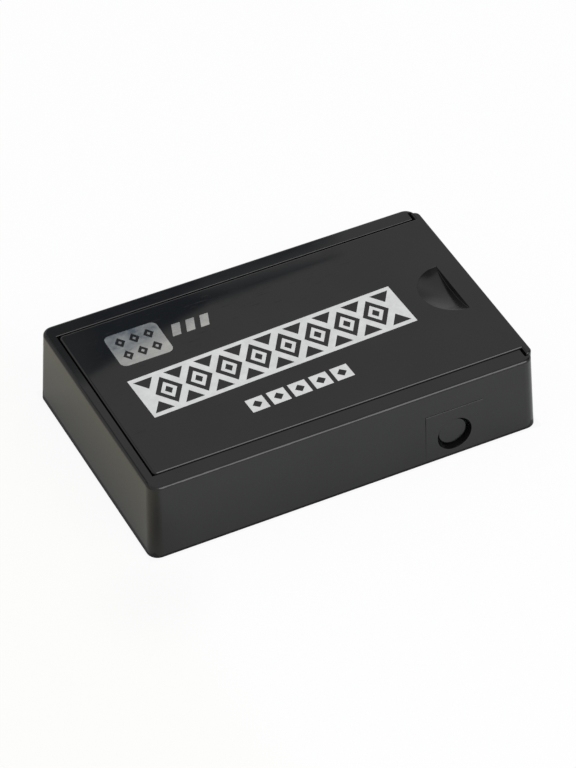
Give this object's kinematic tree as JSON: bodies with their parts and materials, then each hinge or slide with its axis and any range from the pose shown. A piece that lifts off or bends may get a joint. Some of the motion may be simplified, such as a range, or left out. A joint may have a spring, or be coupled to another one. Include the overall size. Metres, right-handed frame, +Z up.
{
  "type": "magnetic key holder box",
  "caption": "Flat black moulded box with a sliding lid, a thumb recess in the lid, a recessed push button on one long side and magnet packs flush with the underside.",
  "frame": {"origin": "middle of the underside, on the surface that the box stands on", "axes": "+X the way the lid slides off, +Z up, and -Y out of the long wall with the button"},
  "size_m": [0.1014, 0.0646, 0.0212],
  "materials": {
    "case_plastic": "satin",
    "lid_plastic": "satin",
    "button_plastic": "satin",
    "foil": "polished",
    "spring_steel": "satin",
    "pole_steel": "satin",
    "ferrite": "matte",
    "glue": "matte"
  },
  "bodies": {
    "case": {"case_body": "case_plastic", "catch_retainer": "button_plastic", "catch_spring": "spring_steel", "left_magnet": "ferrite", "left_outer_pole_plate": "pole_steel", "left_inner_pole_plate": "pole_steel", "left_glue_pad": "glue", "right_magnet": "ferrite", "right_outer_pole_plate": "pole_steel", "right_inner_pole_plate": "pole_steel", "right_glue_pad": "glue"},
    "lid": {"sliding_lid": "lid_plastic", "foil_label": "foil"},
    "button": {"catch_button": "button_plastic", "catch_arm": "button_plastic"}
  },
  "joints": [
    {"name": "lid_slide", "type": "slide", "parent": "case", "child": "lid", "axis": [1, 0, 0], "range_m": [0, 0.1]},
    {"name": "button_push", "type": "slide", "parent": "case", "child": "button", "axis": [0, 1, 0], "range_m": [0, 0.0015], "stiffness_N_per_m": 350, "springref_m": -0.002, "deforming": ["catch_spring"]}
  ]
}
